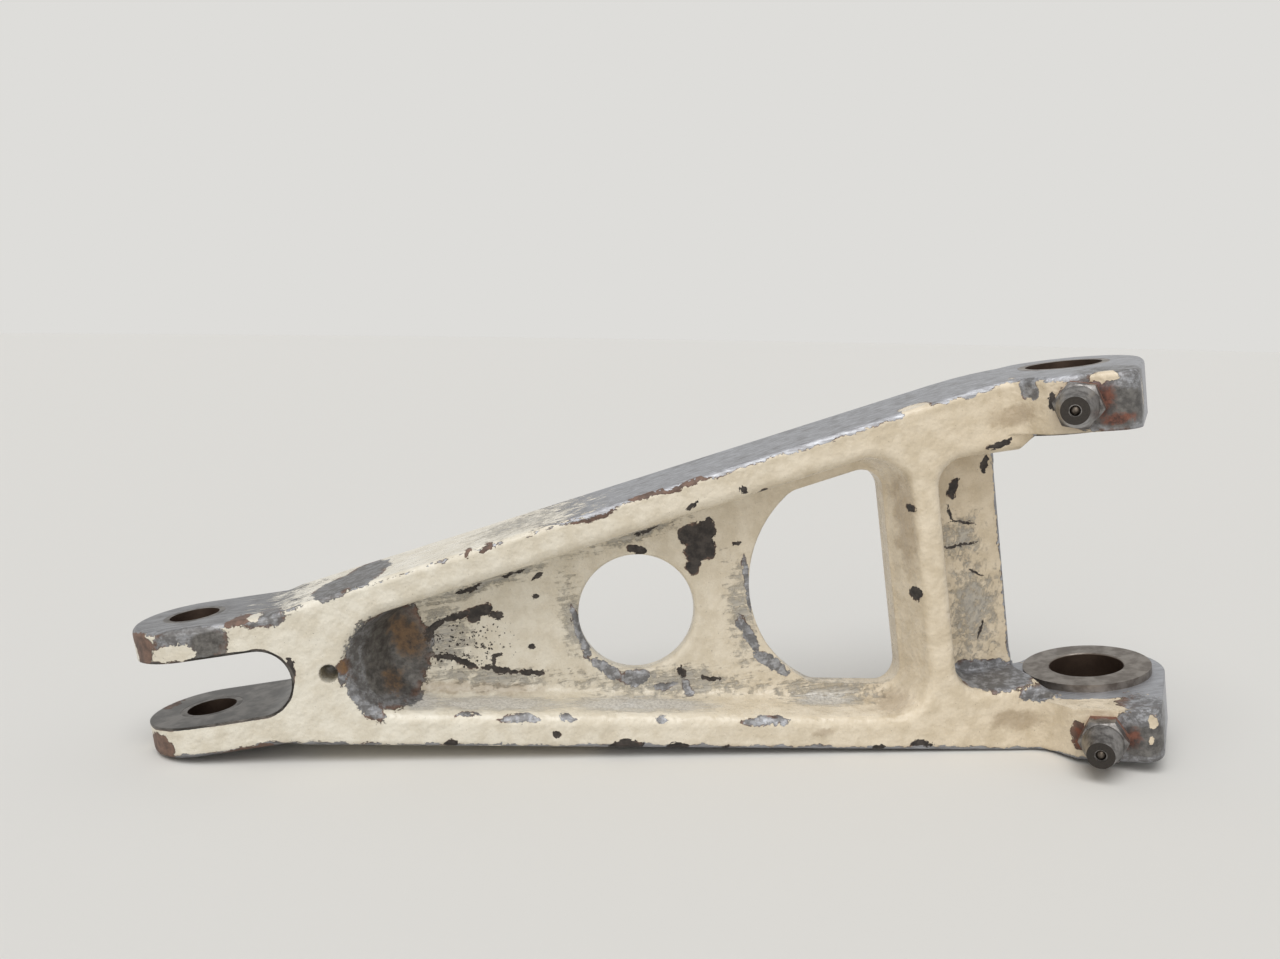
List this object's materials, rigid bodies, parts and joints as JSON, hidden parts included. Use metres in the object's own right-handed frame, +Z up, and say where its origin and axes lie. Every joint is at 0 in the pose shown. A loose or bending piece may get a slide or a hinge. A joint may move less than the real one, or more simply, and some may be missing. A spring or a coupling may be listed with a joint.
{
  "type": "landing gear torque knee",
  "caption": "Triangular forged torque knee of a landing gear: a clevis at one end, two bushed hinge lugs with grease fittings at the other.",
  "frame": {"origin": "the middle of the hinge bore's axis, half-way between the two lugs", "axes": "+Z up as it rests on its lower leg, X along its length with the clevis toward -X, Y across its depth with the grease fittings toward -Y"},
  "size_m": [0.2259, 0.0494, 0.0852],
  "materials": {
    "painted_forging": "satin",
    "bushing_steel": "satin",
    "fitting_steel": "satin",
    "ball_steel": "gloss",
    "spring_steel": "satin"
  },
  "bodies": {
    "knee": {"knee_forging": "painted_forging", "hinge_bushing_upper": "bushing_steel", "hinge_bushing_lower": "bushing_steel", "ear_bushing_upper": "bushing_steel", "ear_bushing_lower": "bushing_steel", "fitting_body_upper": "fitting_steel", "fitting_body_lower": "fitting_steel", "check_spring_upper": "spring_steel", "check_spring_lower": "spring_steel"},
    "check_ball_upper": {"check_ball_upper": "ball_steel"},
    "check_ball_lower": {"check_ball_lower": "ball_steel"}
  },
  "joints": [
    {"name": "check_ball_upper_slide", "type": "slide", "parent": "knee", "child": "check_ball_upper", "axis": [0.4948, 0.866, 0.0719], "range_m": [0, 0.0008], "stiffness_N_per_m": 400, "springref_m": -0.001, "deforming": ["check_spring_upper"]},
    {"name": "check_ball_lower_slide", "type": "slide", "parent": "knee", "child": "check_ball_lower", "axis": [0.4948, 0.866, 0.0719], "range_m": [0, 0.0008], "stiffness_N_per_m": 400, "springref_m": -0.001, "deforming": ["check_spring_lower"]}
  ]
}
